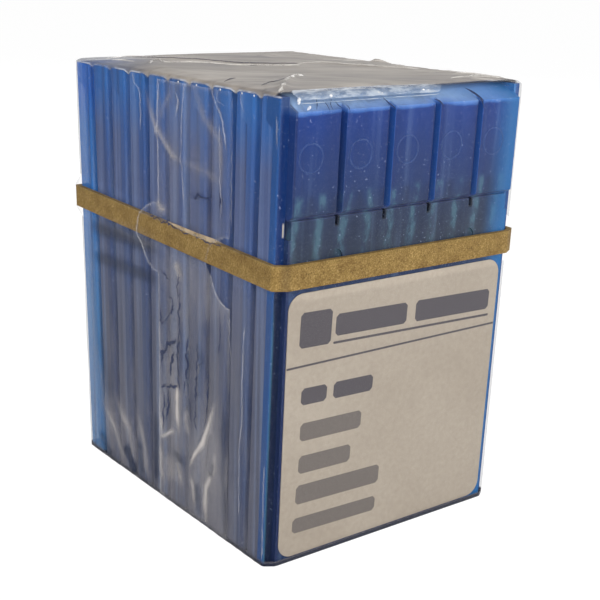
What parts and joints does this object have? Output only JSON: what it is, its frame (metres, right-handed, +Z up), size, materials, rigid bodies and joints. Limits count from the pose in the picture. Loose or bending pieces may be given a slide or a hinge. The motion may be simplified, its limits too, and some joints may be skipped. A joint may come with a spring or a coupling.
{
  "type": "sewing machine needle pack",
  "caption": "Shrink-wrapped block of flat translucent needle cases held by a rubber band, with sewing machine needles seated in the combs of each case.",
  "frame": {"origin": "middle of the foot of the wrapped block, on the face it stands on", "axes": "+Z up along the needles, -Y towards the labelled face of the first case, +X across that face to the right as one looks at it"},
  "size_m": [0.0383, 0.049, 0.0565],
  "materials": {
    "case_plastic": "translucent blue, moulded, satin",
    "label_paper": "matt, warm grey white",
    "needle_steel": "bright plated",
    "band_rubber": "matt, tan, speckled",
    "wrap_film": "clear film, wrinkled"
  },
  "bodies": {
    "root": {"case_01_tray": "case_plastic", "case_01_cover": "case_plastic", "case_01_label": "label_paper", "case_01_needles": "needle_steel", "case_02_tray": "case_plastic", "case_02_cover": "case_plastic", "case_02_label": "label_paper", "case_02_needles": "needle_steel", "case_03_tray": "case_plastic", "case_03_cover": "case_plastic", "case_03_label": "label_paper", "case_03_needles": "needle_steel", "case_04_tray": "case_plastic", "case_04_cover": "case_plastic", "case_04_label": "label_paper", "case_04_needles": "needle_steel", "case_05_tray": "case_plastic", "case_05_cover": "case_plastic", "case_05_label": "label_paper", "case_05_needles": "needle_steel", "case_06_tray": "case_plastic", "case_06_cover": "case_plastic", "case_06_label": "label_paper", "case_06_needles": "needle_steel", "case_07_tray": "case_plastic", "case_07_cover": "case_plastic", "case_07_label": "label_paper", "case_07_needles": "needle_steel", "case_08_tray": "case_plastic", "case_08_cover": "case_plastic", "case_08_label": "label_paper", "case_08_needles": "needle_steel", "case_09_tray": "case_plastic", "case_09_cover": "case_plastic", "case_09_label": "label_paper", "case_09_needles": "needle_steel", "case_10_tray": "case_plastic", "case_10_cover": "case_plastic", "case_10_label": "label_paper", "case_10_needles": "needle_steel", "rubber_band": "band_rubber", "shrink_wrap": "wrap_film", "wrap_lap": "wrap_film"}
  },
  "joints": []
}
